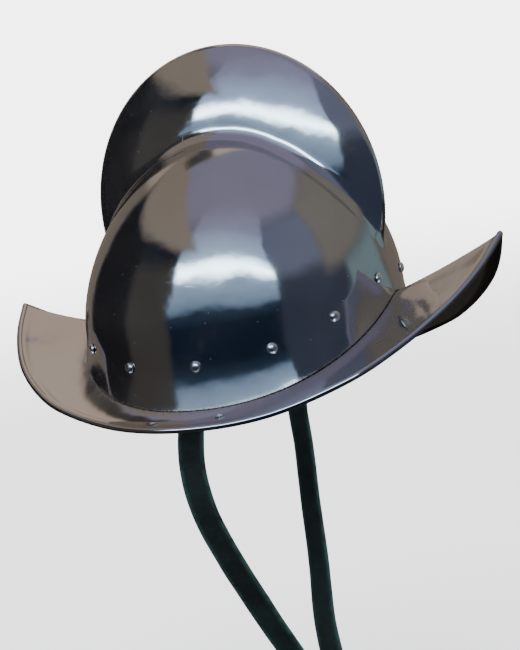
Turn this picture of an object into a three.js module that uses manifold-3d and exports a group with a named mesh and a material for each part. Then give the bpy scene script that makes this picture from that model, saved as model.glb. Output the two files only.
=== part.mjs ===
// Comb morion: a raised steel skull with a tall hollow comb, a boat-shaped brim, rivets and a chin strap.
// Millimetres, +Z up. The front of the helmet faces -Y and the wearer's left is +X.
// The origin lies on the wearer's midline, level with the lowest point of the skull's foot at the ears.

import * as THREE from 'three';
import { mergeVertices } from 'three/addons/utils/BufferGeometryUtils.js';
import Module from 'manifold-3d';

const wasm = await Module();
wasm.setup();

// Sheet and clearances
const STEEL_WALL = 1.5;
const COLLAR_GAP = 1.1;
const SEAT_GAP = 0.3;

// Skull bowl
const BOWL_LENGTH = 219;
const BOWL_WIDTH = 203;
const BOWL_CROWN = 172;
const BOWL_SHOULDER = 52;
const BOWL_LEAN = 8;
const BOWL_PLAN_POWER = 2.15;
const BOWL_DOME_POWER = 1.8;
const FOOT_FLARE = 4;
const FOOT_FLARE_HEIGHT = 26;
const FOOT_RISE = 50;
const FOOT_RIDGE_RADIUS = 10;

// Comb
const COMB_LENGTH = 209;
const COMB_TOP = 228;
const COMB_CENTRE_HEIGHT = 119;
const COMB_FORWARD = 8;
const COMB_OUTLINE_POWER = 2;
const COMB_EDGE_RADIUS = 3;
const COMB_SWELL = 20;
const COMB_SWELL_DEPTH = 46;
const COMB_SWELL_POWER = 1.7;
const COMB_FILLET = 9;

// Brim, from the lowest point of its rim at the ears to its two peaks
const BRIM_WIDTH = 241;
const BRIM_FRONT_REACH = 187;
const BRIM_BACK_REACH = 169;
const BRIM_DROP = 8.5;
const BRIM_FRONT_PEAK = 80;
const BRIM_BACK_PEAK = 67;
const RIM_ROLL_RADIUS = 2.1;
const BRIM_SAG = 1.5;

// Rim stations from the ear to the peak: distance ahead and behind as shares of the reach,
// half width in front and behind as shares of half the brim width, rise as a share of the peak's,
// and the share of a quarter turn round the skull that goes with the station.
const RIM_STATIONS = [
  { ahead: 0, behind: 0, wideFront: 1, wideBack: 1, rise: 0, seam: 0 },
  { ahead: 0.3, behind: 0.317, wideFront: 0.96, wideBack: 0.95, rise: 0.05, seam: 0.27 },
  { ahead: 0.579, behind: 0.603, wideFront: 0.84, wideBack: 0.82, rise: 0.225, seam: 0.5 },
  { ahead: 0.703, behind: 0.728, wideFront: 0.665, wideBack: 0.7, rise: 0.357, seam: 0.635 },
  { ahead: 0.816, behind: 0.837, wideFront: 0.47, wideBack: 0.54, rise: 0.52, seam: 0.76 },
  { ahead: 0.897, behind: 0.911, wideFront: 0.3, wideBack: 0.37, rise: 0.673, seam: 0.86 },
  { ahead: 0.955, behind: 0.96, wideFront: 0.145, wideBack: 0.205, rise: 0.83, seam: 0.94 },
  { ahead: 1, behind: 1, wideFront: 0, wideBack: 0, rise: 1, seam: 1 },
];

// Collar of the brim inside the skull, and the rivets through both
const COLLAR_HEIGHT = 34;
const RIVET_HEAD_RADIUS = 3.6;
const RIVET_HEAD_HEIGHT = 2.3;
const RIVET_SHANK_RADIUS = 1.6;
const RIVET_HOLE_CLEARANCE = 0.3;
const RIVET_HEAD_GAP = 0.45;
const RIVET_END_RADIUS = 2.8;
const RIVET_END_HEIGHT = 1.1;
// Rivets of each half of the skull: share of the way round from the front to the back,
// and height over the foot as a share of the collar's height.
const RIVET_PLACES = [
  { round: 0.065, lift: 0.57 },
  { round: 0.205, lift: 0.69 },
  { round: 0.338, lift: 0.74 },
  { round: 0.489, lift: 0.75 },
  { round: 0.636, lift: 0.69 },
  { round: 0.775, lift: 0.62 },
  { round: 0.925, lift: 0.58 },
];
const STRAP_RIVET_INDEX = 3;

// Chin strap
const STRAP_WIDTH = 17.5;
const STRAP_THICKNESS = 2.4;
const STRAP_DROP = 262;
const STRAP_FORWARD = 16;
const STRAP_END_ABOVE_RIVET = 11;
const STRAP_OVERLAP = 7;
const STRAP_FLAT = 12;
const STRAP_TURN = 20;
const STRAP_TURN_END = 0.9;
// Centre line of one half, from below its rivet to the midline: travel ahead as a share of the
// whole travel, way in as a share of the rivet's distance from the midline, and drop as a share.
const STRAP_COURSE = [
  { ahead: -0.6, inward: 0, down: 0.1 },
  { ahead: -1.06, inward: 0.005, down: 0.25 },
  { ahead: -1, inward: 0.04, down: 0.37 },
  { ahead: -0.62, inward: 0.22, down: 0.523 },
  { ahead: -0.19, inward: 0.43, down: 0.676 },
  { ahead: 0.3, inward: 0.67, down: 0.828 },
  { ahead: 0.68, inward: 0.765, down: 0.915 },
  { ahead: 0.94, inward: 0.78, down: 0.957 },
  { ahead: 1, inward: 0.82, down: 0.987 },
];

// Plain buckle round both ends of the strap
const BUCKLE_LENGTH = 9;
const BUCKLE_WALL = 2.2;
const BUCKLE_CLEARANCE = 0.5;

// Mesh fineness
const SKULL_SECTIONS = 37;
const SKULL_POINTS = 14;
const TURN_WEIGHT = 14;
const FLARE_WEIGHT = 2;
const BRIM_QUARTER_STATIONS = 18;
const STRAP_STATIONS = 32;
const STRAP_STATION_POWER = 1.5;
const RIVET_SIDES = 8;

// Colours
const STEEL_COLOUR = 0x9a9ca4;
const RIVET_COLOUR = 0xb9bcc2;
const LEATHER_COLOUR = 0x16211f;

const halfLength = BOWL_LENGTH / 2;
const halfWidth = BOWL_WIDTH / 2;

// Small helpers
const clamp01 = (value) => Math.min(1, Math.max(0, value));
const lerp = (a, b, t) => a + (b - a) * t;
const softAbs = (value, radius) => Math.sqrt(value * value + radius * radius) - radius;

function norm(a, b, power) {
  return (Math.abs(a) ** power + Math.abs(b) ** power) ** (1 / power);
}

function smoothMin(a, b, radius) {
  const overlap = Math.max(radius - Math.abs(a - b), 0) / radius;
  return Math.min(a, b) - (overlap * overlap * radius) / 4;
}

// Root of a function that changes sign once between two values
function bisect(fn, low, high, steps = 34) {
  let a = low;
  let b = high;
  const startsNegative = fn(a) < 0;
  for (let i = 0; i < steps; i += 1) {
    const middle = (a + b) / 2;
    if (fn(middle) < 0 === startsNegative) a = middle;
    else b = middle;
  }
  return (a + b) / 2;
}

// Height of the skull's foot: two sloping edges that meet in a soft ridge on the midline
const footHalfWidth = halfWidth + FOOT_FLARE;
function footHeight(x) {
  const share = softAbs(x, FOOT_RIDGE_RADIUS) / softAbs(footHalfWidth, FOOT_RIDGE_RADIUS);
  return FOOT_RISE * (1 - share);
}

// Bowl: an oval plan that spreads at the foot and closes over in a dome, which leans a little forward
function bowlNorm(x, y, z) {
  const lift = z - footHeight(x);
  const spread = FOOT_FLARE * clamp01(1 - lift / FOOT_FLARE_HEIGHT) ** 2;
  const rise = Math.max(0, (z - BOWL_SHOULDER) / (BOWL_CROWN - BOWL_SHOULDER));
  const along = y + BOWL_LEAN * rise;
  const plan = norm(x / (halfWidth + spread), along / (halfLength + spread / 2), BOWL_PLAN_POWER);
  return norm(plan, rise, BOWL_DOME_POWER);
}

// Comb outline in the midplane
function combNorm(y, z) {
  const along = (y + COMB_FORWARD) / (COMB_LENGTH / 2);
  const up = (z - COMB_CENTRE_HEIGHT) / (COMB_TOP - COMB_CENTRE_HEIGHT);
  return norm(along, up, COMB_OUTLINE_POWER);
}

// First-order distance of a point from the surface where a norm is 1, and the outward direction there
const STEP = 0.01;
function surfaceAt(normAt, point) {
  const value = normAt(...point);
  const slopes = point.map((_, axis) => {
    const ahead = [...point];
    ahead[axis] += STEP;
    return (normAt(...ahead) - value) / STEP;
  });
  const steepness = Math.max(Math.hypot(...slopes), 1e-6);
  return { distance: (value - 1) / steepness, outward: slopes.map((slope) => slope / steepness) };
}

// Comb: a round edge, from which both sides swell out and then run straight down to the bowl
function combSurface(x, y, z) {
  const outline = surfaceAt(combNorm, [y, z]);
  const depth = -outline.distance - COMB_EDGE_RADIUS;
  const [outY, outZ] = outline.outward;
  if (depth > 0) {
    const left = Math.max(0, 1 - depth / COMB_SWELL_DEPTH);
    const halfThickness = COMB_EDGE_RADIUS + COMB_SWELL * (1 - left ** COMB_SWELL_POWER);
    const slope = ((COMB_SWELL * COMB_SWELL_POWER) / COMB_SWELL_DEPTH) * left ** (COMB_SWELL_POWER - 1);
    const length = Math.hypot(1, slope);
    const outward = [Math.sign(x) / length, (slope * outY) / length, (slope * outZ) / length];
    return { distance: (Math.abs(x) - halfThickness) / length, outward };
  }
  const reach = Math.max(Math.hypot(x, depth), 1e-6);
  const outward = [x / reach, (-depth * outY) / reach, (-depth * outZ) / reach];
  return { distance: reach - COMB_EDGE_RADIUS, outward };
}

// Skull: the bowl and the comb, blended by a hollow fillet that fades where they face the same way
function skullDistance(x, y, z) {
  const bowl = surfaceAt(bowlNorm, [x, y, z]);
  const comb = combSurface(x, y, z);
  const facing = bowl.outward.reduce((sum, value, axis) => sum + value * comb.outward[axis], 0);
  const fillet = COMB_FILLET * clamp01(1 - facing) + COMB_EDGE_RADIUS;
  return smoothMin(bowl.distance, comb.distance, fillet);
}

// A point on the skull, or inside it by an offset, at a plan angle and a height over the foot
function wallPoint(angle, lift, offset) {
  const at = (reach) => {
    const x = Math.sin(angle) * reach;
    const y = -Math.cos(angle) * reach;
    return [x, y, footHeight(x) + lift];
  };
  const reach = bisect((r) => skullDistance(...at(r)) - offset, 30, BOWL_LENGTH);
  return at(reach);
}

function wallNormal(point) {
  const [x, y, z] = point;
  const here = skullDistance(x, y, z);
  return new THREE.Vector3(
    skullDistance(x + STEP, y, z) - here,
    skullDistance(x, y + STEP, z) - here,
    skullDistance(x, y, z + STEP) - here,
  ).normalize();
}

// Point of the skull along a ray from one centre on the midline, below the foot
const RAY_CENTRE = new THREE.Vector3(0, 0, -0.42 * BOWL_CROWN);
const FAR_REACH = 2 * COMB_TOP;
function rayPoint(direction, offset) {
  const at = (reach) => RAY_CENTRE.clone().addScaledVector(direction, reach);
  const reach = bisect((r) => skullDistance(...at(r).toArray()) - offset, 20, FAR_REACH);
  return at(reach);
}

// One section of a skull half, from a place on the foot up to a place on the ridge.
// Its points are evenly spaced by length and by turn, and closer in the flare above the foot.
const RIDGE_START = (62 * Math.PI) / 180;
const DENSE_POINTS = 150;
function skullSection(round, offset) {
  const foot = new THREE.Vector3(...wallPoint(Math.PI * round, 0, offset)).sub(RAY_CENTRE).normalize();
  const tilt = lerp(RIDGE_START, Math.PI - RIDGE_START, round);
  const ridge = new THREE.Vector3(0, -Math.cos(tilt), Math.sin(tilt));
  const spread = foot.angleTo(ridge);
  const dense = [];
  for (let i = 0; i <= DENSE_POINTS; i += 1) {
    const turn = spread * (1 - (1 - i / DENSE_POINTS) ** 2);
    const direction = foot
      .clone()
      .multiplyScalar(Math.sin(spread - turn) / Math.sin(spread))
      .addScaledVector(ridge, Math.sin(turn) / Math.sin(spread));
    dense.push(rayPoint(direction.normalize(), offset));
  }
  const marks = [0];
  for (let i = 1; i <= DENSE_POINTS; i += 1) {
    const step = dense[i].clone().sub(dense[i - 1]);
    const next = dense[Math.min(i + 1, DENSE_POINTS)].clone().sub(dense[i]);
    const turn = next.lengthSq() > 0 ? step.angleTo(next) : 0;
    const lift = dense[i].z - footHeight(dense[i].x);
    const weight = 1 + FLARE_WEIGHT * clamp01(1 - lift / (2 * FOOT_FLARE_HEIGHT));
    marks.push(marks[i - 1] + weight * step.length() + TURN_WEIGHT * turn);
  }
  const section = [];
  for (let j = 0; j <= SKULL_POINTS; j += 1) {
    const mark = (marks[DENSE_POINTS] * j) / SKULL_POINTS;
    let k = 1;
    while (k < DENSE_POINTS && marks[k] < mark) k += 1;
    const share = clamp01((mark - marks[k - 1]) / (marks[k] - marks[k - 1]));
    section.push(dense[k - 1].clone().lerp(dense[k], share));
  }
  if (round === 0 || round === 1) section.forEach((point) => point.setX(0));
  section[SKULL_POINTS].x = 0;
  return section.map((point) => point.toArray());
}

// Mesh building from loose triangles
function trianglesToGeometry(triangles) {
  const positions = new Float32Array(triangles.length * 9);
  triangles.forEach((triangle, i) => triangle.forEach((point, k) => positions.set(point, i * 9 + k * 3)));
  const geometry = new THREE.BufferGeometry();
  geometry.setAttribute('position', new THREE.BufferAttribute(positions, 3));
  const merged = mergeVertices(geometry, 1e-4);
  const index = merged.getIndex().array;
  const kept = [];
  for (let i = 0; i < index.length; i += 3) {
    const [a, b, c] = [index[i], index[i + 1], index[i + 2]];
    if (a !== b && b !== c && c !== a) kept.push(a, b, c);
  }
  merged.setIndex(kept);
  return merged;
}

function addQuad(triangles, a, b, c, d) {
  triangles.push([a, b, c], [a, c, d]);
}

function toSolid(geometry) {
  const bare = geometry.clone();
  bare.deleteAttribute('normal');
  bare.deleteAttribute('uv');
  const merged = mergeVertices(bare, 1e-4);
  return new wasm.Manifold(
    new wasm.Mesh({
      numProp: 3,
      vertProperties: new Float32Array(merged.getAttribute('position').array),
      triVerts: new Uint32Array(merged.getIndex().array),
    }),
  );
}

function fromSolid(solid) {
  const mesh = solid.getMesh();
  const geometry = new THREE.BufferGeometry();
  geometry.setAttribute('position', new THREE.BufferAttribute(new Float32Array(mesh.vertProperties), 3));
  geometry.setIndex(new THREE.BufferAttribute(new Uint32Array(mesh.triVerts), 1));
  return geometry;
}

// Skull: outer and inner faces of the left half and its mirror image, joined along the foot
function skullGeometry() {
  const rounds = Array.from({ length: SKULL_SECTIONS + 1 }, (_, i) => i / SKULL_SECTIONS);
  const outer = rounds.map((round) => skullSection(round, 0));
  const inner = rounds.map((round) => skullSection(round, -STEEL_WALL));
  const triangles = [];
  for (let i = 0; i < SKULL_SECTIONS; i += 1) {
    for (let j = 0; j < SKULL_POINTS; j += 1) {
      addQuad(triangles, outer[i][j], outer[i + 1][j], outer[i + 1][j + 1], outer[i][j + 1]);
      addQuad(triangles, inner[i][j], inner[i][j + 1], inner[i + 1][j + 1], inner[i + 1][j]);
    }
    addQuad(triangles, outer[i][0], inner[i][0], inner[i + 1][0], outer[i + 1][0]);
  }
  const mirror = ([x, y, z]) => [-x, y, z];
  const otherHalf = triangles.map(([a, b, c]) => [mirror(a), mirror(c), mirror(b)]);
  return trianglesToGeometry([...triangles, ...otherHalf]);
}

// Rim of the brim: smooth curves through the stations
function rimCurve(alongKey, wideKey, reach, peak) {
  const points = RIM_STATIONS.map(
    (station) =>
      new THREE.Vector3(
        (station[wideKey] * BRIM_WIDTH) / 2,
        station[alongKey] * reach,
        station.rise * (peak + BRIM_DROP) - BRIM_DROP,
      ),
  );
  const mirrored = points
    .slice(1, 3)
    .reverse()
    .map((p) => new THREE.Vector3(p.x, -p.y, p.z));
  return { curve: new THREE.CatmullRomCurve3([...mirrored, ...points], false, 'centripetal'), lead: 2 };
}

const frontRim = rimCurve('ahead', 'wideFront', BRIM_FRONT_REACH, BRIM_FRONT_PEAK);
const backRim = rimCurve('behind', 'wideBack', BRIM_BACK_REACH, BRIM_BACK_PEAK);

// Rim point and plan angle of the skull for a turn from 0 at the front peak to 1 all the way round
function brimStation(turn) {
  const side = turn < 0.5 ? 1 : -1;
  const half = turn < 0.5 ? turn * 2 : (1 - turn) * 2;
  const isFront = half <= 0.5;
  const share = isFront ? 1 - half * 2 : half * 2 - 1;
  const { curve, lead } = isFront ? frontRim : backRim;
  const spans = RIM_STATIONS.length - 1;
  const t = (lead + share * spans) / (lead + spans);
  const p = curve.getPoint(t);
  const forward = isFront ? -1 : 1;
  const rim = new THREE.Vector3(side * p.x, forward * p.y, p.z);
  const along = share * spans;
  const k = Math.min(spans - 1, Math.floor(along));
  const seamShare = lerp(RIM_STATIONS[k].seam, RIM_STATIONS[k + 1].seam, along - k);
  const quarter = Math.PI / 2;
  const angle = side * (isFront ? quarter * (1 - seamShare) : quarter * (1 + seamShare));
  return { rim, angle };
}

// Brim and collar: one sheet, given by its upper face, then thickened and rolled at the rim
const SHEET_STEPS = [0.15, 0.5, 0.85];
const COLLAR_LIFTS = [1, 0.55, 0.2];
const ROLL_ANGLES = [140, 85, 30, -25, -80, -135].map((degrees) => (degrees * Math.PI) / 180);
function brimGeometry() {
  const stations = BRIM_QUARTER_STATIONS * 4;
  const upper = [];
  for (let i = 0; i < stations; i += 1) {
    const { rim, angle } = brimStation(i / stations);
    const collar = COLLAR_LIFTS.map((share) =>
      new THREE.Vector3(...wallPoint(angle, share * COLLAR_HEIGHT, -STEEL_WALL - COLLAR_GAP)),
    );
    const inside = new THREE.Vector3(...wallPoint(angle, 0, -STEEL_WALL - COLLAR_GAP));
    inside.z -= SEAT_GAP;
    const foot = new THREE.Vector3(...wallPoint(angle, 0, 0));
    foot.z -= SEAT_GAP * 2;
    const sheet = SHEET_STEPS.map((share) => {
      const point = foot.clone().lerp(rim, share);
      point.z -= BRIM_SAG * 4 * share * (1 - share);
      return point;
    });
    upper.push([...collar, inside, foot, ...sheet, rim]);
  }
  const across = upper[0].length;
  const at = (i, j) => upper[(i + stations) % stations][Math.min(across - 1, Math.max(0, j))];
  const rings = upper.map((row, i) => {
    const normals = row.map((point, j) => {
      const along = at(i + 1, j).clone().sub(at(i - 1, j));
      const out = at(i, j + 1).clone().sub(at(i, j - 1));
      return along.cross(out).normalize().negate();
    });
    if (normals[across - 2].z < 0) normals.forEach((normal) => normal.negate());
    const lower = row.map((point, j) => point.clone().addScaledVector(normals[j], -STEEL_WALL));
    const rim = row[across - 1];
    const normal = normals[across - 1];
    const along = at(i + 1, across - 1).clone().sub(at(i - 1, across - 1)).normalize();
    const out = rim.clone().sub(row[across - 2]).normalize();
    const square = Math.max(0.5, Math.sqrt(1 - along.dot(out) ** 2));
    const centre = rim.clone().addScaledVector(normal, -STEEL_WALL / 2);
    const roll = ROLL_ANGLES.map((turn) =>
      centre
        .clone()
        .addScaledVector(out, (Math.cos(turn) * RIM_ROLL_RADIUS) / square)
        .addScaledVector(normal, Math.sin(turn) * RIM_ROLL_RADIUS),
    );
    return [...row.slice(0, -1), ...roll, ...lower.slice(0, -1).reverse()];
  });
  const triangles = [];
  const count = rings[0].length;
  for (let i = 0; i < stations; i += 1) {
    const next = rings[(i + 1) % stations];
    for (let j = 0; j < count; j += 1) {
      const k = (j + 1) % count;
      const corners = [rings[i][j], rings[i][k], next[k], next[j]].map((p) => p.toArray());
      addQuad(triangles, ...corners);
    }
  }
  return trianglesToGeometry(triangles);
}

// Places of the rivets, walked along the row from the front to the back on each side
function rivetFrames() {
  const samples = 400;
  const marks = [0];
  let previous = null;
  for (let i = 0; i <= samples; i += 1) {
    const point = new THREE.Vector3(...wallPoint((Math.PI * i) / samples, COLLAR_HEIGHT / 2, 0));
    if (previous) marks.push(marks[i - 1] + point.distanceTo(previous));
    previous = point;
  }
  const frames = [];
  for (const side of [-1, 1]) {
    RIVET_PLACES.forEach(({ round, lift }, place) => {
      const k = marks.findIndex((mark) => mark >= round * marks[samples]);
      const point = new THREE.Vector3(...wallPoint((Math.PI * k) / samples, lift * COLLAR_HEIGHT, 0));
      point.x *= side;
      const normal = wallNormal(point.toArray());
      frames.push({ point, normal, side, holdsStrap: place === STRAP_RIVET_INDEX });
    });
  }
  return frames;
}

// Rivet turned about its own axis, which points outward: domed head, shank and spread inner end
function rivetGeometry(grip) {
  const head = [];
  for (let i = 0; i <= 3; i += 1) {
    const turn = (i / 3) * (Math.PI / 2);
    const height = RIVET_HEAD_GAP + RIVET_HEAD_HEIGHT * Math.sin(turn);
    head.push(new THREE.Vector2(RIVET_HEAD_RADIUS * Math.cos(turn), height));
  }
  head[3].x = 0;
  const inner = -grip;
  const profile = [
    new THREE.Vector2(0, inner - RIVET_END_HEIGHT),
    new THREE.Vector2(RIVET_END_RADIUS * 0.7, inner - RIVET_END_HEIGHT * 0.8),
    new THREE.Vector2(RIVET_END_RADIUS, inner),
    new THREE.Vector2(RIVET_SHANK_RADIUS, inner),
    new THREE.Vector2(RIVET_SHANK_RADIUS, RIVET_HEAD_GAP),
    ...head,
  ];
  return new THREE.LatheGeometry(profile, RIVET_SIDES);
}

function orientedAlong(normal) {
  return new THREE.Quaternion().setFromUnitVectors(new THREE.Vector3(0, 1, 0), normal);
}

const plainGrip = STEEL_WALL * 2 + COLLAR_GAP + SEAT_GAP;
const strapBow = STRAP_WIDTH ** 2 / (4 * BOWL_LENGTH);
const strapGrip = plainGrip + SEAT_GAP + strapBow + STRAP_THICKNESS + SEAT_GAP;

// Hole for a rivet's shank, as a solid that reaches past both sheets
function rivetHole(frame) {
  const length = strapGrip * 2 + RIVET_HEAD_HEIGHT;
  const radius = RIVET_SHANK_RADIUS + RIVET_HOLE_CLEARANCE;
  const geometry = new THREE.CylinderGeometry(radius, radius, length, RIVET_SIDES);
  geometry.applyQuaternion(orientedAlong(frame.normal));
  geometry.translate(...frame.point.toArray());
  return toSolid(geometry);
}

// Centre line of one half of the strap: up inside the collar, down past the jaw and in to the buckle
function strapCurve(frame, lowered) {
  const inset = plainGrip + SEAT_GAP + strapBow + STRAP_THICKNESS / 2;
  const start = frame.point.clone().addScaledVector(frame.normal, -inset);
  const points = [start.clone(), start.clone()];
  points[0].z += STRAP_END_ABOVE_RIVET;
  STRAP_COURSE.forEach(({ ahead, inward, down }) => {
    const x = start.x * (1 - inward);
    points.push(new THREE.Vector3(x, start.y - ahead * STRAP_FORWARD, start.z - down * STRAP_DROP));
  });
  const bottom = start.z - STRAP_DROP - lowered;
  for (const x of [STRAP_FLAT, STRAP_FLAT / 2, 0, -STRAP_OVERLAP]) {
    points.push(new THREE.Vector3(frame.side * x, start.y - STRAP_FORWARD, bottom));
  }
  return new THREE.CatmullRomCurve3(points, false, 'centripetal');
}

// Flat strap swept along its centre line, its face turned a little forward beside the jaw
function strapGeometry(frame, lowered) {
  const curve = strapCurve(frame, lowered);
  const turnAngle = (STRAP_TURN * Math.PI) / 180;
  const alongWall = new THREE.Vector3(frame.normal.y, -frame.normal.x, 0);
  alongWall.multiplyScalar(frame.side).normalize();
  const sections = [];
  for (let i = 0; i <= STRAP_STATIONS; i += 1) {
    const share = 1 - (1 - i / STRAP_STATIONS) ** STRAP_STATION_POWER;
    const centre = curve.getPointAt(share);
    const tangent = curve.getTangentAt(share);
    const turn = turnAngle * Math.sin(Math.PI * clamp01(share / STRAP_TURN_END)) ** 0.7;
    const across = new THREE.Vector3(-frame.side * Math.sin(turn), -Math.cos(turn), 0);
    across.lerp(alongWall, clamp01(1 - 4 * share)).normalize();
    across.addScaledVector(tangent, -across.dot(tangent)).normalize();
    const face = new THREE.Vector3().crossVectors(tangent, across);
    const corner = (a, b) =>
      centre
        .clone()
        .addScaledVector(across, (a * STRAP_WIDTH) / 2)
        .addScaledVector(face, (b * STRAP_THICKNESS) / 2)
        .toArray();
    sections.push([corner(-1, -1), corner(1, -1), corner(1, 1), corner(-1, 1)]);
  }
  const triangles = [];
  for (let i = 0; i < STRAP_STATIONS; i += 1) {
    for (let j = 0; j < 4; j += 1) {
      const k = (j + 1) % 4;
      addQuad(triangles, sections[i][j], sections[i][k], sections[i + 1][k], sections[i + 1][j]);
    }
  }
  const last = sections[STRAP_STATIONS];
  addQuad(triangles, sections[0][3], sections[0][2], sections[0][1], sections[0][0]);
  addQuad(triangles, ...last);
  return trianglesToGeometry(triangles);
}

function rectangle(width, height, PathType) {
  const path = new PathType();
  path.moveTo(-width / 2, -height / 2);
  path.lineTo(width / 2, -height / 2);
  path.lineTo(width / 2, height / 2);
  path.lineTo(-width / 2, height / 2);
  path.closePath();
  return path;
}

// Buckle: a plain closed frame round both strap ends, drawn front to back and up, then pushed along X
function buckleGeometry() {
  const inWidth = STRAP_WIDTH + 2 * BUCKLE_CLEARANCE;
  const inHeight = 2 * STRAP_THICKNESS + SEAT_GAP + 2 * BUCKLE_CLEARANCE;
  const shape = rectangle(inWidth + 2 * BUCKLE_WALL, inHeight + 2 * BUCKLE_WALL, THREE.Shape);
  shape.holes.push(rectangle(inWidth, inHeight, THREE.Path));
  const geometry = new THREE.ExtrudeGeometry(shape, { depth: BUCKLE_LENGTH, bevelEnabled: false });
  geometry.translate(0, 0, -BUCKLE_LENGTH / 2);
  geometry.rotateX(Math.PI / 2);
  geometry.rotateZ(Math.PI / 2);
  return geometry;
}

const rivets = rivetFrames();

const group = new THREE.Group();
const steel = new THREE.MeshStandardMaterial({ color: STEEL_COLOUR, roughness: 0.18, metalness: 1 });
const bright = new THREE.MeshStandardMaterial({ color: RIVET_COLOUR, roughness: 0.25, metalness: 1 });
const leather = new THREE.MeshStandardMaterial({ color: LEATHER_COLOUR, roughness: 0.6, metalness: 0 });

function addMesh(name, geometry, material) {
  const mesh = new THREE.Mesh(geometry, material.clone());
  mesh.name = name;
  group.add(mesh);
  return mesh;
}

// Skull and brim, with their rivet holes
let skullSolid = toSolid(skullGeometry());
let brimSolid = toSolid(brimGeometry());
for (const frame of rivets) {
  const hole = rivetHole(frame);
  skullSolid = skullSolid.subtract(hole);
  brimSolid = brimSolid.subtract(hole);
}
addMesh('skull', fromSolid(skullSolid), steel);
addMesh('brim', fromSolid(brimSolid), steel);

// Rivets
rivets.forEach((frame, i) => {
  const grip = frame.holdsStrap ? strapGrip : plainGrip;
  const mesh = addMesh(`rivet_${String(i + 1).padStart(2, '0')}`, rivetGeometry(grip), bright);
  mesh.position.copy(frame.point);
  mesh.quaternion.copy(orientedAlong(frame.normal));
});

// Chin strap in two halves, one end over the other in the buckle
const strapFrames = rivets.filter((frame) => frame.holdsStrap);
for (const frame of strapFrames) {
  const lowered = frame.side < 0 ? STRAP_THICKNESS + SEAT_GAP : 0;
  const solid = toSolid(strapGeometry(frame, lowered)).subtract(rivetHole(frame));
  addMesh(frame.side < 0 ? 'strap_right' : 'strap_left', fromSolid(solid), leather);
}
const buckle = addMesh('buckle', buckleGeometry(), bright);
const strapTop = strapCurve(strapFrames[0], 0).getPointAt(1);
buckle.position.set(0, strapTop.y, strapTop.z - (STRAP_THICKNESS + SEAT_GAP) / 2);

export default group;
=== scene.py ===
import math

import bmesh
import bpy
import numpy as np
from mathutils import Matrix, Vector


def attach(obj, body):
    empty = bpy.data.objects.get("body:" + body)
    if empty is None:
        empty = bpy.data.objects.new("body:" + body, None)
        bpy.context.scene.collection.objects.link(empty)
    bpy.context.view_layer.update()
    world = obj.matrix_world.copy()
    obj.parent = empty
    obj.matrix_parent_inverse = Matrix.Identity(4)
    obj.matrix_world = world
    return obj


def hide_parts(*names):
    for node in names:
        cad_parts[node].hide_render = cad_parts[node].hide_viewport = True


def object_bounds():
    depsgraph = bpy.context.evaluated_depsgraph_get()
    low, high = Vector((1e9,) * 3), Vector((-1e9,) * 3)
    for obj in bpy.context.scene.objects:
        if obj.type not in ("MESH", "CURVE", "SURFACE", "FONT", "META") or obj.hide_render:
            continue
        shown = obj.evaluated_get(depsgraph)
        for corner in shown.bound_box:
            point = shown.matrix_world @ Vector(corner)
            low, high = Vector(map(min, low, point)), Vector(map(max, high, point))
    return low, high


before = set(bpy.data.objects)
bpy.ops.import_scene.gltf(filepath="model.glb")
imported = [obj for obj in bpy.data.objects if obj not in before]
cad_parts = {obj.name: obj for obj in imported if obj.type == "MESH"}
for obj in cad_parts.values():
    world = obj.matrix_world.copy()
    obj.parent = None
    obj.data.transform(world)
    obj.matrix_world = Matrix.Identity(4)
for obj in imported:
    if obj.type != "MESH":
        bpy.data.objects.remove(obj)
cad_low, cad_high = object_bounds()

MM = 0.001

# Sizes of the helmet in millimetres, the same as the solids have
STEEL_WALL = 1.5
COLLAR_GAP = 1.1
SEAT_GAP = 0.3
BOWL_LENGTH, BOWL_WIDTH, BOWL_CROWN, BOWL_SHOULDER = 219, 203, 172, 52
BOWL_LEAN, BOWL_PLAN_POWER, BOWL_DOME_POWER = 8, 2.15, 1.8
FOOT_FLARE, FOOT_FLARE_HEIGHT, FOOT_RISE, FOOT_RIDGE_RADIUS = 4, 26, 50, 10
COMB_LENGTH, COMB_TOP, COMB_CENTRE_HEIGHT, COMB_FORWARD = 209, 228, 119, 8
COMB_EDGE_RADIUS, COMB_SWELL, COMB_SWELL_DEPTH, COMB_SWELL_POWER = 3, 20, 46, 1.7
COMB_FILLET, COMB_LEAN = 9, 0.15
BRIM_WIDTH, BRIM_FRONT_REACH, BRIM_BACK_REACH = 241, 187, 169
BRIM_DROP, BRIM_FRONT_PEAK, BRIM_BACK_PEAK = 8.5, 80, 67
RIM_ROLL_RADIUS, BRIM_SAG = 2.1, 1.5
# Rim stations: ahead, behind, half width in front, half width behind, rise, seam turn
RIM_STATIONS = [
    (0, 0, 1, 1, 0, 0),
    (0.3, 0.317, 0.96, 0.95, 0.05, 0.27),
    (0.579, 0.603, 0.84, 0.82, 0.225, 0.5),
    (0.703, 0.728, 0.665, 0.7, 0.357, 0.635),
    (0.816, 0.837, 0.47, 0.54, 0.52, 0.76),
    (0.897, 0.911, 0.3, 0.37, 0.673, 0.86),
    (0.955, 0.96, 0.145, 0.205, 0.83, 0.94),
    (1, 1, 0, 0, 1, 1),
]
COLLAR_HEIGHT = 34
RIVET_HEAD_RADIUS, RIVET_HEAD_HEIGHT, RIVET_HEAD_GAP = 3.6, 2.3, 0.45
RIVET_SHANK_RADIUS, RIVET_END_RADIUS, RIVET_END_HEIGHT = 1.6, 2.8, 1.1
RIVET_PLACES = [
    (0.065, 0.57), (0.205, 0.69), (0.338, 0.74), (0.489, 0.75), (0.636, 0.69), (0.775, 0.62), (0.925, 0.58),
]
STRAP_RIVET = 3
STRAP_WIDTH, STRAP_THICKNESS, STRAP_DROP, STRAP_FORWARD = 17.5, 2.4, 262, 16
STRAP_END_ABOVE_RIVET, STRAP_OVERLAP, STRAP_FLAT = 11, 7, 12
STRAP_TURN, STRAP_TURN_END = 20, 0.9
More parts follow.
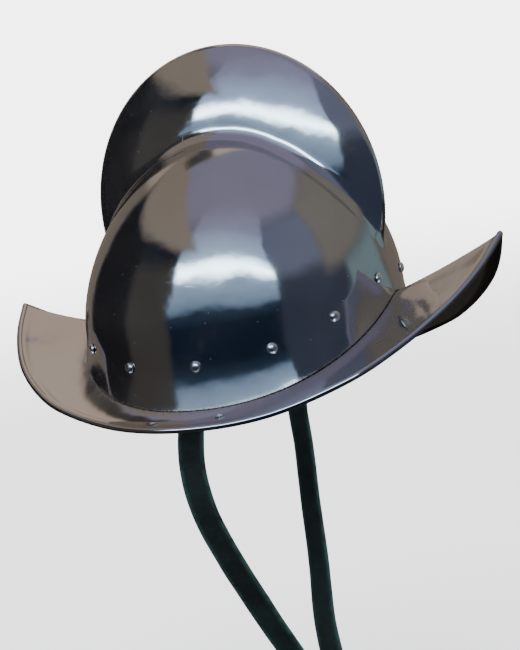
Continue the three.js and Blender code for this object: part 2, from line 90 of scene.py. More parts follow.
STRAP_COURSE = [
    (-0.6, 0, 0.1), (-1.06, 0.005, 0.25), (-1, 0.04, 0.37), (-0.62, 0.22, 0.523), (-0.19, 0.43, 0.676),
    (0.3, 0.67, 0.828), (0.68, 0.765, 0.915), (0.94, 0.78, 0.957), (1, 0.82, 0.987),
]
BUCKLE_LENGTH, BUCKLE_WALL, BUCKLE_CLEARANCE = 9, 2.2, 0.5

# Camera at the photograph's angle
VIEW_TURN, VIEW_RISE, VIEW_ROLL = 23.657, 7.7, -9.135
VIEW_DISTANCE, VIEW_FOCAL_SHARE = 1.54247, 2255.5 / 650
VIEW_TARGET = Vector((0, -0.00889, 0.03551))


def make_camera():
    turn, rise, roll = (math.radians(v) for v in (VIEW_TURN, VIEW_RISE, VIEW_ROLL))
    back = Vector((-math.cos(turn) * math.cos(rise), -math.sin(turn) * math.cos(rise), math.sin(rise)))
    level = Vector((math.sin(turn), -math.cos(turn), 0))
    lift = back.cross(level)
    right = level * math.cos(roll) + lift * math.sin(roll)
    up = lift * math.cos(roll) - level * math.sin(roll)
    data = bpy.data.cameras.new("camera")
    data.sensor_width = 36
    data.lens = VIEW_FOCAL_SHARE * data.sensor_width
    data.clip_start, data.clip_end = 0.05, 50
    camera = bpy.data.objects.new("camera", data)
    bpy.context.scene.collection.objects.link(camera)
    place = VIEW_TARGET + back * VIEW_DISTANCE
    camera.matrix_world = Matrix.Translation(place) @ Matrix((right, up, back)).transposed().to_4x4()
    bpy.context.scene.camera = camera
    return back, level


# Shape of the skull, as in the solids
def norm(a, b, power):
    return (np.abs(a) ** power + np.abs(b) ** power) ** (1 / power)


def soft_abs(value, radius):
    return np.sqrt(value * value + radius * radius) - radius


def foot_height(x):
    return FOOT_RISE * (1 - soft_abs(x, FOOT_RIDGE_RADIUS) / soft_abs(BOWL_WIDTH / 2 + FOOT_FLARE, FOOT_RIDGE_RADIUS))


def bowl_norm(p):
    x, y, z = p[..., 0], p[..., 1], p[..., 2]
    spread = FOOT_FLARE * np.clip(1 - (z - foot_height(x)) / FOOT_FLARE_HEIGHT, 0, 1) ** 2
    rise = np.maximum(0, (z - BOWL_SHOULDER) / (BOWL_CROWN - BOWL_SHOULDER))
    along = y + BOWL_LEAN * rise
    plan = norm(x / (BOWL_WIDTH / 2 + spread), along / (BOWL_LENGTH / 2 + spread / 2), BOWL_PLAN_POWER)
    return norm(plan, rise, BOWL_DOME_POWER)


def comb_norm(p):
    along = (p[..., 1] + COMB_FORWARD) / (COMB_LENGTH / 2)
    return np.hypot(along, (p[..., 2] - COMB_CENTRE_HEIGHT) / (COMB_TOP - COMB_CENTRE_HEIGHT))


def surface_at(fn, p, step=0.01):
    value = fn(p)
    slopes = np.zeros(p.shape)
    for axis in range(3):
        ahead = p.copy()
        ahead[..., axis] += step
        slopes[..., axis] = (fn(ahead) - value) / step
    steep = np.maximum(np.linalg.norm(slopes, axis=-1), 1e-6)
    return (value - 1) / steep, slopes / steep[..., None]


def comb_surface(p, lean=0.0):
    x = p[..., 0]
    distance, outward = surface_at(comb_norm, p)
    depth = -distance - COMB_EDGE_RADIUS
    left = np.clip(1 - np.maximum(depth, 0) / COMB_SWELL_DEPTH, 0, 1)
    half = COMB_EDGE_RADIUS + COMB_SWELL * (1 - left**COMB_SWELL_POWER)
    slope = COMB_SWELL * COMB_SWELL_POWER / COMB_SWELL_DEPTH * left ** (COMB_SWELL_POWER - 1)
    slope = slope + lean * np.clip(depth / COMB_SWELL_DEPTH, 0, 1) ** 5
    length = np.hypot(1, slope)
    side = np.stack([np.sign(x) / length, slope * outward[..., 1] / length, slope * outward[..., 2] / length], -1)
    reach = np.maximum(np.hypot(x, depth), 1e-6)
    first = math.atan(COMB_SWELL * COMB_SWELL_POWER / COMB_SWELL_DEPTH) if lean else 0
    round_ = np.arctan2(np.maximum(-depth, 0), np.abs(x)) / (math.pi / 2)
    round_ = first + (math.pi / 2 - first) * round_
    rise = np.sin(round_)
    edge = np.stack([np.sign(x) * np.cos(round_), rise * outward[..., 1], rise * outward[..., 2]], -1)
    inside = depth > 0
    value = np.where(inside, (np.abs(x) - half) / length, reach - COMB_EDGE_RADIUS)
    return value, np.where(inside[..., None], side, edge)


def skull_distance(p):
    bowl, bowl_out = surface_at(bowl_norm, p)
    comb, comb_out = comb_surface(p)
    facing = (bowl_out * comb_out).sum(-1)
    fillet = COMB_FILLET * np.clip(1 - facing, 0, 1) + COMB_EDGE_RADIUS
    overlap = np.maximum(fillet - np.abs(bowl - comb), 0) / fillet
    return np.minimum(bowl, comb) - overlap**2 * fillet / 4


# Normals of the plate, which leans a little more than the solid where the comb runs down to the bowl
def plate_normals(p):
    bowl, bowl_out = surface_at(bowl_norm, p)
    comb, comb_out = comb_surface(p, COMB_LEAN)
    fillet = COMB_FILLET * np.clip(1 - (bowl_out * comb_out).sum(-1), 0, 1) + COMB_EDGE_RADIUS
    overlap = np.maximum(fillet - np.abs(bowl - comb), 0) / fillet
    share = np.where(bowl < comb, overlap / 2, 1 - overlap / 2)[..., None]
    return unit(bowl_out * (1 - share) + comb_out * share)


def unit(v):
    return v / np.linalg.norm(v, axis=-1, keepdims=True)


def bisect(fn, low, high, shape, steps=30):
    a, b = np.full(shape, float(low)), np.full(shape, float(high))
    for _ in range(steps):
        middle = (a + b) / 2
        inside = fn(middle) < 0
        a, b = np.where(inside, middle, a), np.where(inside, b, middle)
    return (a + b) / 2


def wall_points(angles, lifts, offset):
    angles, lifts = np.broadcast_arrays(np.asarray(angles, float), np.asarray(lifts, float))

    def at(reach):
        x = np.sin(angles) * reach
        return np.stack([x, -np.cos(angles) * reach, foot_height(x) + lifts], -1)

    return at(bisect(lambda reach: skull_distance(at(reach)) - offset, 30, BOWL_LENGTH, angles.shape))


def wall_normals(p, step=0.01):
    here = skull_distance(p)
    slopes = np.zeros(p.shape)
    for axis in range(3):
        ahead = p.copy()
        ahead[..., axis] += step
        slopes[..., axis] = skull_distance(ahead) - here
    return slopes / np.linalg.norm(slopes, axis=-1, keepdims=True)


RAY_CENTRE = np.array([0, 0, -0.42 * BOWL_CROWN])


def cast(directions, offset):
    def at(reach):
        return RAY_CENTRE + directions * reach[..., None]

    return at(bisect(lambda reach: skull_distance(at(reach)) - offset, 20, 2 * COMB_TOP, directions.shape[:-1]))


# Sections round half the skull, points below and above the crease, samples that find it, and the ridge's end tilt
SECTIONS, BELOW, ABOVE, DENSE = 180, 78, 50, 260
RIDGE_TILT = math.radians(62)


# Share of each section's turn at which the comb meets the bowl
def crease_shares(directions, offset):
    share = np.broadcast_to(1 - (1 - np.arange(DENSE + 1) / DENSE) ** 2, (SECTIONS + 1, DENSE + 1))
    points = cast(directions(share), offset)
    gap = surface_at(bowl_norm, points)[0] - comb_surface(points)[0]
    first = np.argmax(gap > 0, axis=1)
    rows = np.arange(SECTIONS + 1)
    low, high = gap[rows, first - 1], gap[rows, first]
    blend = np.clip(-low / np.maximum(high - low, 1e-6), 0, 1)
    return share[rows, first - 1] * (1 - blend) + share[rows, first] * blend


# Rows of points up one half of the skull, packed close where the comb meets the bowl
def skull_sections(offset):
    steps = np.arange(SECTIONS + 1) / SECTIONS
    rounds = 0.3 * steps + 0.7 * (0.5 - 0.5 * np.cos(math.pi * steps))
    foot = unit(wall_points(math.pi * rounds, 0, offset) - RAY_CENTRE)
    tilt = RIDGE_TILT + (math.pi - 2 * RIDGE_TILT) * rounds
    ridge = np.stack([np.zeros_like(tilt), -np.cos(tilt), np.sin(tilt)], -1)
    spread = np.arccos(np.clip((foot * ridge).sum(-1), -1, 1))[:, None]

    def directions(share):
        turn = spread * share
        return unit(
            foot[:, None] * (np.sin(spread - turn) / np.sin(spread))[..., None]
            + ridge[:, None] * (np.sin(turn) / np.sin(spread))[..., None]
        )

    crease = crease_shares(directions, offset)[:, None]
    below, above = np.arange(BELOW + 1) / BELOW, np.arange(1, ABOVE + 1) / ABOVE
    below = 1 - (1 - below) ** 1.35
    above = 0.2 * above + 0.8 * (0.5 - 0.5 * np.cos(math.pi * above))
    picked = np.concatenate([crease * below, crease + (1 - crease) * above], axis=1)
    points = cast(directions(picked), offset)
    points[0, :, 0] = points[-1, :, 0] = points[:, -1, 0] = 0
    return points


# Meshes
def grid_faces(rows, columns, start=0, flip=False, close_rows=False, close_columns=False):
    i = np.arange(rows if close_rows else rows - 1)
    j = np.arange(columns if close_columns else columns - 1)
    a, b = np.meshgrid(i, j, indexing="ij")
    c, d = (a + 1) % rows, (b + 1) % columns
    quads = np.stack([a * columns + b, c * columns + b, c * columns + d, a * columns + d], -1).reshape(-1, 4) + start
    return quads[:, ::-1] if flip else quads


def make_piece(name, points, faces, material, weld=True, sharp=40, attributes=None):
    mesh = bpy.data.meshes.new(name)
    mesh.from_pydata((np.asarray(points) * MM).tolist(), [], [tuple(f) for f in faces])
    for key, values in (attributes or {}).items():
        mesh.attributes.new(key, "FLOAT", "POINT").data.foreach_set("value", np.asarray(values, np.float32))
    if weld:
        bm = bmesh.new()
        bm.from_mesh(mesh)
        bmesh.ops.remove_doubles(bm, verts=bm.verts, dist=2e-6)
        bmesh.ops.dissolve_degenerate(bm, edges=bm.edges, dist=1e-6)
        bmesh.ops.recalc_face_normals(bm, faces=bm.faces)
        bm.to_mesh(mesh)
        bm.free()
    mesh.polygons.foreach_set("use_smooth", np.ones(len(mesh.polygons), bool))
    mesh.set_sharp_from_angle(angle=math.radians(sharp))
    mesh.materials.append(material)
    obj = bpy.data.objects.new(name, mesh)
    bpy.context.scene.collection.objects.link(obj)
    return obj


# The skull's true surface normals, apart from the flat edge at its foot
def corner_normals(mesh, normals, half):
    loops = np.empty(len(mesh.loops), np.int32)
    mesh.loops.foreach_get("vertex_index", loops)
    sizes = np.empty(len(mesh.polygons), np.int32)
    mesh.polygons.foreach_get("loop_total", sizes)
    flat = np.empty(len(mesh.polygons) * 3, np.float32)
    mesh.polygons.foreach_get("normal", flat)
    wanted = normals[loops]
    owner = np.repeat(np.arange(len(sizes)), sizes)
    level = (loops % half) // (half // 2)
    first = np.concatenate([[0], np.cumsum(sizes)[:-1]])
    mixed = np.maximum.reduceat(level, first) != np.minimum.reduceat(level, first)
    edge = mixed[owner]
    wanted[edge] = flat.reshape(-1, 3)[owner[edge]]
    mesh.normals_split_custom_set(wanted.tolist())


def place(obj, nodes, slot):
    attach(obj, "root")
    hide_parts(*nodes)


# Node helpers
class Nodes:
    def __init__(self, tree):
        self.tree = tree
        tree.nodes.clear()

    def add(self, kind, inputs=None, **settings):
        node = self.tree.nodes.new(kind)
        for key, value in settings.items():
            setattr(node, key, value)
        for key, value in (inputs or {}).items():
            socket = node.inputs[key]
            if isinstance(value, bpy.types.NodeSocket):
                self.tree.links.new(value, socket)
            else:
                socket.default_value = value
        return node

    def math(self, operation, *values, clamp=False):
        node = self.add("ShaderNodeMath", dict(enumerate(values)), operation=operation, use_clamp=clamp)
        return node.outputs[0]

    def ramp(self, value, low, high, to_low=0.0, to_high=1.0, smooth=True):
        kind = "SMOOTHSTEP" if smooth else "LINEAR"
        inputs = {"Value": value, "From Min": low, "From Max": high, "To Min": to_low, "To Max": to_high}
        return self.add("ShaderNodeMapRange", inputs, interpolation_type=kind).outputs["Result"]

    def mix(self, factor, a, b):
        node = self.add("ShaderNodeMix", data_type="RGBA")
        for socket, value in ((node.inputs["Factor"], factor), (node.inputs[6], a), (node.inputs[7], b)):
            if isinstance(value, bpy.types.NodeSocket):
                self.tree.links.new(value, socket)
            else:
                socket.default_value = value if isinstance(value, float) else (*value, 1)
        return node.outputs[2]

    def noise(self, vector, scale, detail=2.0, roughness=0.5):
        inputs = {"Vector": vector, "Scale": float(scale), "Detail": float(detail), "Roughness": float(roughness)}
        return self.add("ShaderNodeTexNoise", inputs).outputs["Fac"]

    def stretched(self, vector, scale, turn):
        inputs = {"Vector": vector, "Scale": scale, "Rotation": tuple(math.radians(v) for v in turn)}
        return self.add("ShaderNodeMapping", inputs).outputs["Vector"]

    def bump(self, height, distance, strength=1.0, normal=None):
        inputs = {"Height": height, "Distance": float(distance), "Strength": float(strength)}
        if normal is not None:
            inputs["Normal"] = normal
        return self.add("ShaderNodeBump", inputs).outputs["Normal"]

    def attribute(self, name):
        return self.add("ShaderNodeAttribute", attribute_name=name).outputs["Fac"]


def new_material(name):
    material = bpy.data.materials.new(name)
    material.use_nodes = True
    return material, Nodes(material.node_tree)


def finish_material(nodes, **inputs):
    shader = nodes.add("ShaderNodeBsdfPrincipled", {k.replace("_", " "): v for k, v in inputs.items()})
    output = nodes.add("ShaderNodeOutputMaterial")
    nodes.tree.links.new(shader.outputs["BSDF"], output.inputs["Surface"])


# Polished sheet steel: slow planishing waves, a hazy polish, hairline scratches and small dark pits, with painted
# shade and some grime in the seams, and painted shade on the rolled rim
def steel_material(name, tone, haze, wave):
    material, n = new_material(name)
    at = n.add("ShaderNodeTexCoord").outputs["Object"]
    shade_and_grime = n.attribute("shade_and_grime")
    rim_shade = n.attribute("rim_shade")
    smudge = n.noise(at, 21, 4, 0.6)
    cloud = n.noise(at, 7, 3)
    hair = n.noise(n.stretched(at, (2300, 60, 60), (12, 25, 38)), 1, 1)
    hair_two = n.noise(n.stretched(at, (60, 70, 1900), (-20, 14, 5)), 1, 1)
    hairs = n.math("MAXIMUM", n.ramp(hair, 0.66, 0.8), n.ramp(hair_two, 0.68, 0.82))
    cells = n.add("ShaderNodeTexVoronoi", {"Vector": at, "Scale": 64.0, "Randomness": 1.0})
    pick = n.add("ShaderNodeSeparateColor", {"Color": cells.outputs["Color"]}).outputs[0]
    size = n.ramp(pick, 0.72, 1.0, 0.0, 0.045, smooth=False)
    pits = n.math("LESS_THAN", cells.outputs["Distance"], size)
    fine = n.add("ShaderNodeTexVoronoi", {"Vector": at, "Scale": 330.0, "Randomness": 1.0})
    fine_pick = n.add("ShaderNodeSeparateColor", {"Color": fine.outputs["Color"]}).outputs[1]
    specks = n.math("LESS_THAN", fine.outputs["Distance"], n.ramp(fine_pick, 0.86, 1.0, 0.0, 0.12, smooth=False))
    # Painted shade with some grime: darker and rougher along the seams, round the rivet heads and inside the skull
    shade_and_grime_mask = n.math("MULTIPLY", n.math("POWER", shade_and_grime, 1.5), n.ramp(n.noise(at, 420, 3, 0.7), 0.25, 0.7))
    colour = n.mix(n.ramp(cloud, 0.35, 0.7), tone, tuple(v * k for v, k in zip(tone, (0.93, 0.9, 0.86))))
    colour = n.mix(n.math("MULTIPLY", shade_and_grime_mask, 0.85), colour, (0.075, 0.06, 0.05))
    colour = n.mix(n.math("MULTIPLY", specks, 0.5), colour, (0.12, 0.11, 0.11))
    colour = n.mix(pits, colour, (0.015, 0.012, 0.012))
    # Painted shade: darker along a thin line just inside the brim's rim and on the rolled bead's underside
    colour = n.mix(n.math("MULTIPLY", rim_shade, 0.75), colour, (0.05, 0.045, 0.045))
    rough = n.ramp(smudge, 0.3, 0.75, haze, haze + 0.075)
    rough = n.math("ADD", rough, n.math("MULTIPLY", hairs, 0.07))
    rough = n.math("ADD", rough, n.math("MULTIPLY", shade_and_grime_mask, 0.35))
    rough = n.math("ADD", rough, n.math("MULTIPLY", n.math("MAXIMUM", pits, specks), 0.3), clamp=True)
    normal = n.bump(n.noise(at, 13, 1.5), 0.0028 * wave)
    normal = n.bump(n.noise(at, 44, 2), 0.00026 * wave, normal=normal)
    normal = n.bump(n.math("MULTIPLY", hairs, -1.0), 0.000003, normal=normal)
    normal = n.bump(n.math("MULTIPLY", pits, -1.0), 0.0001, normal=normal)
    finish_material(n, Base_Color=colour, Metallic=1.0, Roughness=rough, Normal=normal)
    return material


# Leather: dyed nearly black with a green cast, fine grain, soft creases, and edges painted lighter, partly as wear and
# partly as a painted highlight
def leather_material(name):
    material, n = new_material(name)
    at = n.add("ShaderNodeTexCoord").outputs["Object"]
    edge = n.attribute("edge")
    patch = n.noise(at, 34, 4, 0.6)
    grain = n.add("ShaderNodeTexVoronoi", {"Vector": at, "Scale": 1150.0, "Randomness": 1.0}, feature="F1")
    crease = n.noise(n.stretched(at, (60, 60, 420), (6, -8, 0)), 1, 3, 0.6)
    pore = n.noise(at, 1800, 2)
    colour = n.mix(n.ramp(patch, 0.3, 0.75), (0.0013, 0.0042, 0.0046), (0.0024, 0.0092, 0.0095))
    colour = n.mix(n.math("MULTIPLY", n.ramp(crease, 0.55, 0.75), 0.5), colour, (0.0042, 0.0115, 0.0095))
    # Lighter, smoother edges: partly wear, partly a painted highlight
    worn_and_lit = n.math("MULTIPLY", edge, n.ramp(n.noise(at, 120, 4, 0.7), 0.25, 0.65))
    colour = n.mix(n.math("MULTIPLY", worn_and_lit, 0.85), colour, (0.016, 0.06, 0.058))
    rough = n.ramp(patch, 0.3, 0.8, 0.62, 0.42)
    rough = n.math("SUBTRACT", rough, n.math("MULTIPLY", worn_and_lit, 0.1))
    normal = n.bump(grain.outputs["Distance"], 0.0003, 0.55)
    normal = n.bump(crease, 0.0004, 0.5, normal=normal)
    normal = n.bump(pore, 0.00006, 0.5, normal=normal)
    finish_material(n, Base_Color=colour, Metallic=0.0, Specular_IOR_Level=0.22, Roughness=rough, Normal=normal)
    return material


# Skull
def build_skull(material, frames):
    outer, inner = skull_sections(0), skull_sections(-STEEL_WALL)
    rows, columns = outer.shape[:2]
    count = rows * columns
    points = np.concatenate([outer.reshape(-1, 3), inner.reshape(-1, 3)])
    strip = np.arange(rows - 1) * columns
    foot = np.stack([strip, strip + count, strip + columns + count, strip + columns], -1)
    faces = np.concatenate([grid_faces(rows, columns), grid_faces(rows, columns, count, flip=True), foot])
    mirrored = points * np.array([-1, 1, 1])
    points = np.concatenate([points, mirrored])
    faces = np.concatenate([faces, faces[:, ::-1] + 2 * count])
    # Painted shade with some grime: darker at the foot, in a ring round each rivet head, and over the whole inside of
    # the skull
    lift = points[:, 2] - foot_height(points[:, 0])
    shade_and_grime = np.exp(-np.maximum(lift, 0) / 1.1)
    for frame_ in frames:
        gap = np.linalg.norm(points - frame_["point"], axis=1)
        shade_and_grime = np.maximum(shade_and_grime, 0.8 * np.exp(-np.maximum(gap - RIVET_HEAD_RADIUS, 0) / 1.3))
    inside = np.zeros(len(points))
    inside[count : 2 * count] = inside[3 * count :] = 0.5
    attributes = {"shade_and_grime": np.maximum(shade_and_grime, inside), "rim_shade": np.zeros(len(points))}
    half = np.concatenate([plate_normals(outer.reshape(-1, 3)), -plate_normals(inner.reshape(-1, 3))])
    normals = np.concatenate([half, half * np.array([-1, 1, 1])])
    obj = make_piece("skull_plate", points, faces, material, weld=False, attributes=attributes)
    corner_normals(obj.data, normals, 2 * count)
    place(obj, ["skull"], "polished_steel")


# Smooth curve through points, centripetal, as in the solids
def spline(points, t):
    points = np.asarray(points, float)
    last = len(points) - 1
    out = []
    for value in np.atleast_1d(t):
        whole = min(int(math.floor(last * value)), last - 1)
        share = last * value - whole
        p1, p2 = points[whole], points[whole + 1]
        p0 = points[whole - 1] if whole > 0 else 2 * points[0] - points[1]
        p3 = points[whole + 2] if whole + 2 <= last else 2 * points[last] - points[last - 1]
        gaps = [max(math.sqrt(np.linalg.norm(b - a)), 1e-4) for a, b in ((p0, p1), (p1, p2), (p2, p3))]
        d0, d1, d2 = gaps
        t1 = ((p1 - p0) / d0 - (p2 - p0) / (d0 + d1) + (p2 - p1) / d1) * d1
        t2 = ((p2 - p1) / d1 - (p3 - p1) / (d1 + d2) + (p3 - p2) / d2) * d1
        c2 = -3 * p1 + 3 * p2 - 2 * t1 - t2
        c3 = 2 * p1 - 2 * p2 + t1 + t2
        out.append(p1 + t1 * share + c2 * share**2 + c3 * share**3)
    return np.array(out)


def rim_points(along, wide, reach, peak):
    points = [
        (s[wide] * BRIM_WIDTH / 2, s[along] * reach, s[4] * (peak + BRIM_DROP) - BRIM_DROP) for s in RIM_STATIONS
    ]
    mirrored = [(x, -y, z) for x, y, z in points[1:3]][::-1]
    return mirrored + points


# Brim: collar, ledge under the skull, sheet and rolled rim
BRIM_STATIONS = 400
RIM_ROLL_FROM, RIM_ROLL_TO, RIM_ROLL_POINTS = 143, -138, 19
# Points on the rolled bead's underside that are painted in shade
SHADED_BEAD_START, SHADED_BEAD_POINTS = 15, 6


def build_brim(material):
    front = rim_points(0, 2, BRIM_FRONT_REACH, BRIM_FRONT_PEAK)
    back = rim_points(1, 3, BRIM_BACK_REACH, BRIM_BACK_PEAK)
    seams = [s[5] for s in RIM_STATIONS]
    spans = len(RIM_STATIONS) - 1
    rims, angles = [], []
    for i in range(BRIM_STATIONS):
        turn = i / BRIM_STATIONS
        side = 1 if turn < 0.5 else -1
        half = turn * 2 if turn < 0.5 else (1 - turn) * 2
        is_front = half <= 0.5
        share = 1 - half * 2 if is_front else half * 2 - 1
        p = spline(front if is_front else back, (2 + share * spans) / (2 + spans))[0]
        rims.append((side * p[0], (-1 if is_front else 1) * p[1], p[2]))
        seam = np.interp(share * spans, np.arange(spans + 1), seams)
        angles.append(side * (math.pi / 2) * ((1 - seam) if is_front else (1 + seam)))
    rims, angles = np.array(rims), np.array(angles)
    offset = -STEEL_WALL - COLLAR_GAP
    rows = [wall_points(angles, share * COLLAR_HEIGHT, offset) for share in (1, 0.9, 0.75, 0.6, 0.45, 0.3, 0.15, 0.05)]
    inside = wall_points(angles, 0, offset) - [0, 0, SEAT_GAP]
    foot = wall_points(angles, 0, 0) - [0, 0, SEAT_GAP * 2]
    rows += [inside, foot]
    first_sheet = len(rows)
    shares = np.concatenate([[0.012, 0.03], np.linspace(0.06, 0.94, 21)])
    for share in shares:
        point = foot + (rims - foot) * share
        point[:, 2] -= BRIM_SAG * 4 * share * (1 - share)
        rows.append(point)
    rows.append(rims)
    upper = np.stack(rows, axis=1)
    along = np.roll(upper, -1, axis=0) - np.roll(upper, 1, axis=0)
    ahead = np.concatenate([upper[:, 1:], upper[:, -1:]], axis=1)
    behind = np.concatenate([upper[:, :1], upper[:, :-1]], axis=1)
    normals = -unit(np.cross(along, ahead - behind))
    normals *= np.where(normals[:, -2, 2] < 0, -1, 1)[:, None, None]
    lower = upper - normals * STEEL_WALL
    normal = normals[:, -1]
    tangent = unit(along[:, -1])
    out = unit(rims - upper[:, -2])
    square = np.maximum(0.5, np.sqrt(1 - (tangent * out).sum(-1) ** 2))[:, None]
    centre = rims - normal * STEEL_WALL / 2
    roll = np.radians(np.linspace(RIM_ROLL_FROM, RIM_ROLL_TO, RIM_ROLL_POINTS))
    bead = [centre + out * np.cos(t) * RIM_ROLL_RADIUS / square + normal * np.sin(t) * RIM_ROLL_RADIUS for t in roll]
    ring = np.concatenate([upper[:, :-1], np.stack(bead, axis=1), lower[:, -2::-1]], axis=1)
    rows_, columns = ring.shape[:2]
    faces = grid_faces(rows_, columns, flip=True, close_rows=True, close_columns=True)
    # Painted shade with some grime along the seam where the sheet meets the skull
    seam_gap = np.linalg.norm(ring - foot[:, None], axis=-1)
    shade_and_grime = 0.95 * np.exp(-seam_gap / 2.0)
    # Painted shade: a faint dark line just inside the rim, and the underside of the rolled bead darkened
    rim_gap = np.linalg.norm(ring - rims[:, None], axis=-1)
    on_top = np.zeros(ring.shape[:2])
    on_top[:, first_sheet : upper.shape[1] - 1] = 1
    rim_shade = on_top * np.exp(-(((rim_gap - 5.2) / 0.5) ** 2)) * 0.35
    on_bead = np.zeros(ring.shape[:2])
    low = upper.shape[1] - 1 + SHADED_BEAD_START
    on_bead[:, low : low + SHADED_BEAD_POINTS] = 1
    rim_shade = np.maximum(rim_shade, on_bead)
    attributes = {"shade_and_grime": shade_and_grime.reshape(-1), "rim_shade": rim_shade.reshape(-1)}
    obj = make_piece("brim_plate", ring.reshape(-1, 3), faces, material, weld=False, sharp=50, attributes=attributes)
    place(obj, ["brim"], "polished_steel")


# Rivets
def rivet_frames():
    samples = RIVET_ROW_SAMPLES
    row = wall_points(math.pi * np.arange(samples + 1) / samples, COLLAR_HEIGHT / 2, 0)
    marks = np.concatenate([[0], np.cumsum(np.linalg.norm(np.diff(row, axis=0), axis=1))])
    frames = []
    for side in (-1, 1):
        for place_, (round_, lift) in enumerate(RIVET_PLACES):
            k = int(np.argmax(marks >= round_ * marks[-1]))
            point = wall_points([math.pi * k / samples], lift * COLLAR_HEIGHT, 0)[0]
            point[0] *= side
            normal = wall_normals(point[None])[0]
            frames.append({"point": point, "normal": normal, "side": side, "strap": place_ == STRAP_RIVET})
    return frames


PLAIN_GRIP = STEEL_WALL * 2 + COLLAR_GAP + SEAT_GAP
STRAP_BOW = STRAP_WIDTH**2 / (4 * BOWL_LENGTH)
STRAP_GRIP = PLAIN_GRIP + SEAT_GAP + STRAP_BOW + STRAP_THICKNESS + SEAT_GAP
RIVET_SIDES, RIVET_ROW_SAMPLES = 36, 400


def build_rivets(material, frames):
    rng = np.random.default_rng(7)
    for number, frame_ in enumerate(frames, 1):
        grip = STRAP_GRIP if frame_["strap"] else PLAIN_GRIP
        profile = [(0.02, -grip - RIVET_END_HEIGHT)]
        for share in (0.35, 0.7, 0.9, 1):
            profile.append((RIVET_END_RADIUS * share, -grip - RIVET_END_HEIGHT * math.sqrt(1 - share**2.4)))
        profile += [(RIVET_SHANK_RADIUS, -grip), (RIVET_SHANK_RADIUS, RIVET_HEAD_GAP)]
        profile += [(RIVET_HEAD_RADIUS * 0.97, RIVET_HEAD_GAP), (RIVET_HEAD_RADIUS, RIVET_HEAD_GAP + 0.12)]
        flat = rng.uniform(0.8, 0.95)
        for k in range(1, 12):
            turn = k / 12 * math.pi / 2
            height = RIVET_HEAD_GAP + RIVET_HEAD_HEIGHT * math.sin(turn) ** flat
            profile.append((RIVET_HEAD_RADIUS * math.cos(turn), height))
        profile.append((0.02, RIVET_HEAD_GAP + RIVET_HEAD_HEIGHT))
        turns = np.arange(RIVET_SIDES) / RIVET_SIDES * 2 * math.pi
        axis = Vector(frame_["normal"])
        across = np.array(axis.orthogonal().normalized())
        other = np.cross(frame_["normal"], across)
        rings = np.array(
            [
                [
                    frame_["point"] + frame_["normal"] * h + (across * math.cos(t) + other * math.sin(t)) * r
                    for t in turns
                ]
                for r, h in profile
            ]
        )
        faces = grid_faces(len(profile), RIVET_SIDES, close_columns=True).tolist()
        last = (len(profile) - 1) * RIVET_SIDES
        faces.append(tuple(range(RIVET_SIDES))[::-1])
        faces.append(tuple(range(last, last + RIVET_SIDES)))
        heights = np.array([h for _, h in profile])
        # Painted shade with some grime where the head meets the plate, and over the shank and inner end
        shade_and_grime = np.repeat(np.exp(-np.maximum(heights - RIVET_HEAD_GAP, 0) / 0.25) * 0.9, RIVET_SIDES)
        name = f"rivet_{number:02d}"
        attributes = {"shade_and_grime": shade_and_grime, "rim_shade": np.zeros(len(shade_and_grime))}
        obj = make_piece(name + "_steel", rings.reshape(-1, 3), faces, material, sharp=50, attributes=attributes)
        place(obj, [name], "rivet_steel")


# Chin strap
def strap_line(frame_, lowered):
    start = frame_["point"] - frame_["normal"] * (PLAIN_GRIP + SEAT_GAP + STRAP_BOW + STRAP_THICKNESS / 2)
    points = [start + [0, 0, STRAP_END_ABOVE_RIVET], start]
    for ahead, inward, down in STRAP_COURSE:
        points.append((start[0] * (1 - inward), start[1] - ahead * STRAP_FORWARD, start[2] - down * STRAP_DROP))
    bottom = start[2] - STRAP_DROP - lowered
    for x in (STRAP_FLAT, STRAP_FLAT / 2, 0, -STRAP_OVERLAP):
        points.append((frame_["side"] * x, start[1] - STRAP_FORWARD, bottom))
    dense = spline(points, np.linspace(0, 1, 1201))
    return dense, start, bottom


def even_along(dense, shares):
    marks = np.concatenate([[0], np.cumsum(np.linalg.norm(np.diff(dense, axis=0), axis=1))])
    return np.stack([np.interp(shares * marks[-1], marks, dense[:, k]) for k in range(3)], -1), marks[-1]


STRAP_ROWS, STRAP_BEVEL = 240, 0.7


